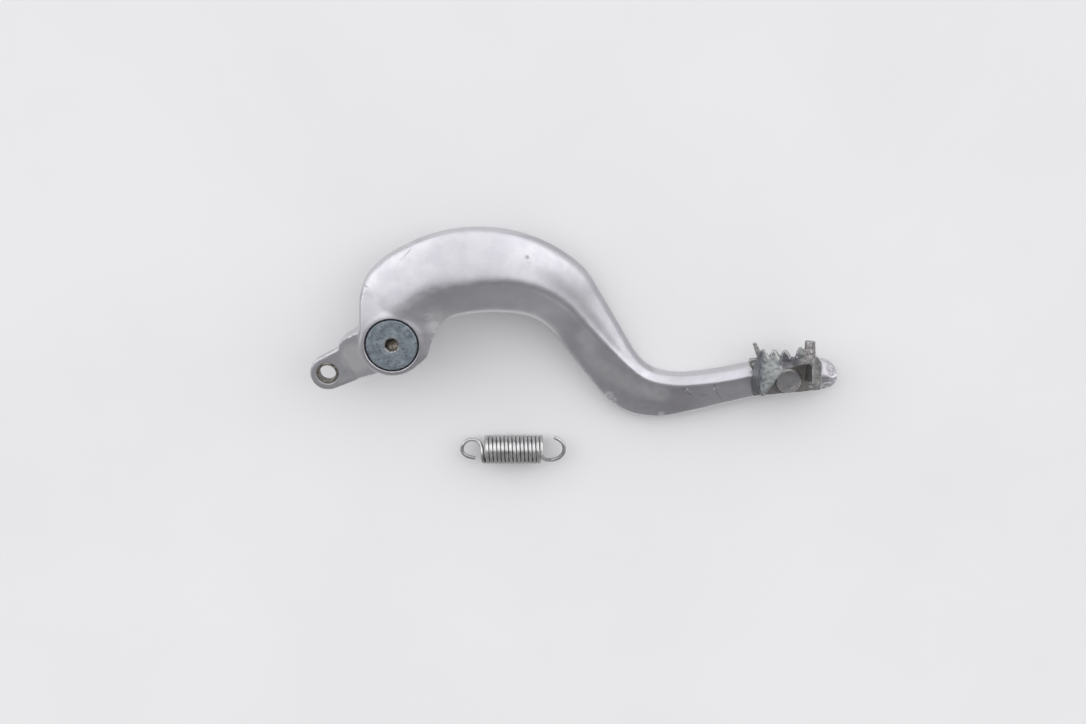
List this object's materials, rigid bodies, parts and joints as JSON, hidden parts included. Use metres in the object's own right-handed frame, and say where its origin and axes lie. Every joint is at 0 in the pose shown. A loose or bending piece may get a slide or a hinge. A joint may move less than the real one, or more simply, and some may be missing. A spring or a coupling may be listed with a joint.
{
  "type": "motorcycle rear brake pedal",
  "caption": "Right-hand rear brake pedal with pivot bolt, push-rod lug, toothed steel toe step and its loose return spring.",
  "frame": {"origin": "on the pivot axis, at the bolt's shoulder that meets the frame of the motorcycle; the part lies on its inner side", "axes": "+X forward to the toe step, +Y up on the machine, +Z outward along the pivot axis, from the thread to the bolt head"},
  "size_m": [0.2586, 0.1255, 0.0393],
  "materials": {
    "coated_aluminium": "silver coated, satin, scuffed",
    "zinc_steel": "dull blue zinc plate, mottled",
    "plain_steel": "ground",
    "seal_rubber": "matt black",
    "bronze": "plain bearing bronze",
    "bush_steel": "dark, greasy",
    "step_steel": "cast steel, worn plating, bright edges",
    "rivet_steel": "dull plated",
    "spring_steel": "plated wire, semi-gloss"
  },
  "bodies": {
    "pivot": {"pivot_bolt": "zinc_steel", "thrust_washer": "plain_steel", "spring_coil": "spring_steel", "spring_frame_hook": "spring_steel"},
    "pedal": {"pedal_arm": "coated_aluminium", "outer_dust_seal": "seal_rubber", "inner_dust_seal": "seal_rubber", "outer_bush": "bronze", "inner_bush": "bronze", "clevis_bush": "bush_steel", "toe_step": "step_steel", "step_rivet": "rivet_steel"},
    "spring_end": {"spring_pedal_hook": "spring_steel"}
  },
  "joints": [
    {"name": "pedal_pivot", "type": "hinge", "parent": "pivot", "child": "pedal", "pos_m": [0, 0, 0], "axis": [0, 0, 1], "range_deg": [-14, 5]},
    {"name": "spring_stretch", "type": "slide", "parent": "pivot", "child": "spring_end", "axis": [-1, 0, 0], "range_m": [0, 0.015], "stiffness_N_per_m": 3800, "deforming": ["spring_coil"]}
  ]
}
